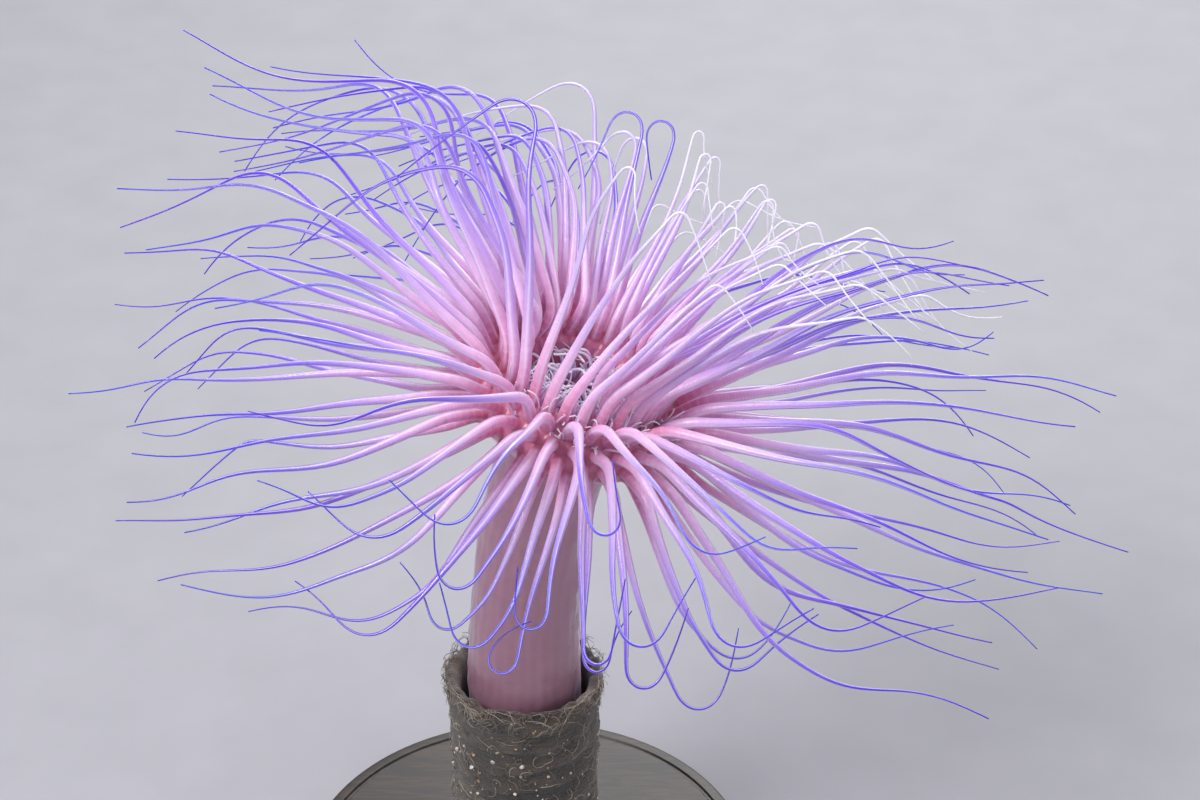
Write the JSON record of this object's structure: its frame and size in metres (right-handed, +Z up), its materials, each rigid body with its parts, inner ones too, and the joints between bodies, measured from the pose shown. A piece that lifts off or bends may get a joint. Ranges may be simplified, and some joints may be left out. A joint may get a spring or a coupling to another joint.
{
  "type": "tube-dwelling anemone",
  "caption": "Life-size still model of a tube-dwelling anemone, its long lilac tentacles spread and trailing from a funnel-shaped disc, standing in its felt tube on a round base.",
  "frame": {"origin": "centre of the display base's underside, on the floor", "axes": "+Z up, -Y towards the display side, +X to the right as seen from the display side"},
  "size_m": [0.3892, 0.2714, 0.3536],
  "materials": {
    "tentacle_flesh": "wet, smooth flesh, rosy at the roots, lilac in the middle and violet-blue at the tips",
    "labial_flesh": "wet, smooth, pale lilac flesh",
    "disc_flesh": "wet rosy flesh with fine radial grooves",
    "column_skin": "moist, finely wrinkled skin",
    "tube_felt": "matt felt of fine threads with sand grains and shell grit",
    "base_lacquer": "turned wood, black satin lacquer"
  },
  "bodies": {
    "root": {"stand_base": "base_lacquer", "felt_tube": "tube_felt", "column_lower": "column_skin", "column_upper": "column_skin", "oral_disc": "disc_flesh", "tentacles_cycle1_1": "tentacle_flesh", "tentacles_cycle1_2": "tentacle_flesh", "tentacles_cycle1_3": "tentacle_flesh", "tentacles_cycle1_4": "tentacle_flesh", "tentacles_cycle1_5": "tentacle_flesh", "tentacles_cycle1_6": "tentacle_flesh", "tentacles_cycle1_7": "tentacle_flesh", "tentacles_cycle1_8": "tentacle_flesh", "tentacles_cycle1_9": "tentacle_flesh", "tentacles_cycle1_10": "tentacle_flesh", "tentacles_cycle2_1": "tentacle_flesh", "tentacles_cycle2_2": "tentacle_flesh", "tentacles_cycle2_3": "tentacle_flesh", "tentacles_cycle2_4": "tentacle_flesh", "tentacles_cycle2_5": "tentacle_flesh", "tentacles_cycle2_6": "tentacle_flesh", "tentacles_cycle2_7": "tentacle_flesh", "tentacles_cycle2_8": "tentacle_flesh", "tentacles_cycle2_9": "tentacle_flesh", "tentacles_cycle2_10": "tentacle_flesh", "tentacles_cycle3_1": "tentacle_flesh", "tentacles_cycle3_2": "tentacle_flesh", "tentacles_cycle3_3": "tentacle_flesh", "tentacles_cycle3_4": "tentacle_flesh", "tentacles_cycle3_5": "tentacle_flesh", "tentacles_cycle3_6": "tentacle_flesh", "tentacles_cycle3_7": "tentacle_flesh", "tentacles_cycle3_8": "tentacle_flesh", "tentacles_cycle3_9": "tentacle_flesh", "tentacles_cycle3_10": "tentacle_flesh", "tentacles_cycle4_1": "tentacle_flesh", "tentacles_cycle4_2": "tentacle_flesh", "tentacles_cycle4_3": "tentacle_flesh", "tentacles_cycle4_4": "tentacle_flesh", "tentacles_cycle4_5": "tentacle_flesh", "tentacles_cycle4_6": "tentacle_flesh", "tentacles_cycle4_7": "tentacle_flesh", "tentacles_cycle4_8": "tentacle_flesh", "tentacles_cycle4_9": "tentacle_flesh", "tentacles_cycle4_10": "tentacle_flesh", "tentacle_tip_1": "tentacle_flesh", "tentacle_tip_2": "tentacle_flesh", "tentacle_tip_3": "tentacle_flesh", "tentacle_tip_4": "tentacle_flesh", "tentacle_tip_5": "tentacle_flesh", "tentacle_tip_6": "tentacle_flesh", "tentacle_tip_7": "tentacle_flesh", "tentacle_tip_8": "tentacle_flesh", "tentacle_tip_9": "tentacle_flesh", "tentacle_tip_10": "tentacle_flesh", "tentacle_tip_11": "tentacle_flesh", "labial_tentacles_1": "labial_flesh", "labial_tentacles_2": "labial_flesh", "labial_tentacles_3": "labial_flesh", "labial_tentacles_4": "labial_flesh"}
  },
  "joints": []
}
